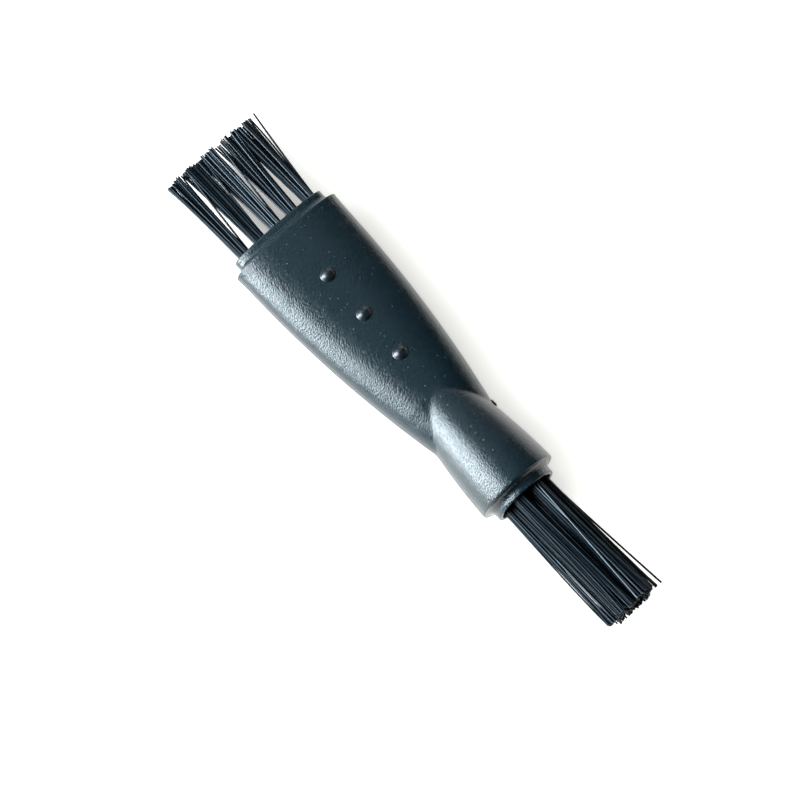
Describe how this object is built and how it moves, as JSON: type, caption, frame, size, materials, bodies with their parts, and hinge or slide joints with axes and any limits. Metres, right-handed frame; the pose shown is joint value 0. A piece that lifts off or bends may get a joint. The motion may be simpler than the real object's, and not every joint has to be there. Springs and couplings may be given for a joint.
{
  "type": "double-ended cleaning brush",
  "caption": "Pocket cleaning brush with a flat row of bristle tufts at one end of a moulded handle and a round bristle bundle at the other, for clearing grooves.",
  "frame": {"origin": "centre of the brush: midway between the two sets of bristle tips, on the handle's centre line", "axes": "+X along the handle towards the round bundle, +Y across the flat row of tufts, +Z out of the face with the grip dots"},
  "size_m": [0.09, 0.0186, 0.0128],
  "materials": {
    "handle_plastic": "blue-black moulded polypropylene with a fine spark-eroded grain",
    "bristle_nylon": "black nylon filament, satin",
    "anchor_metal": "flat drawn nickel silver strip, cut edges"
  },
  "bodies": {
    "root": {"handle": "handle_plastic", "wide_tuft_1": "bristle_nylon", "wide_tuft_2": "bristle_nylon", "wide_tuft_3": "bristle_nylon", "wide_tuft_4": "bristle_nylon", "wide_tuft_5": "bristle_nylon", "wide_anchor_1": "anchor_metal", "wide_anchor_2": "anchor_metal", "wide_anchor_3": "anchor_metal", "wide_anchor_4": "anchor_metal", "wide_anchor_5": "anchor_metal", "round_tuft_1": "bristle_nylon", "round_tuft_2": "bristle_nylon", "round_tuft_3": "bristle_nylon", "round_tuft_4": "bristle_nylon", "round_tuft_5": "bristle_nylon", "round_tuft_6": "bristle_nylon", "round_tuft_7": "bristle_nylon", "round_anchor_1": "anchor_metal", "round_anchor_2": "anchor_metal", "round_anchor_3": "anchor_metal", "round_anchor_4": "anchor_metal", "round_anchor_5": "anchor_metal", "round_anchor_6": "anchor_metal", "round_anchor_7": "anchor_metal"}
  },
  "joints": []
}
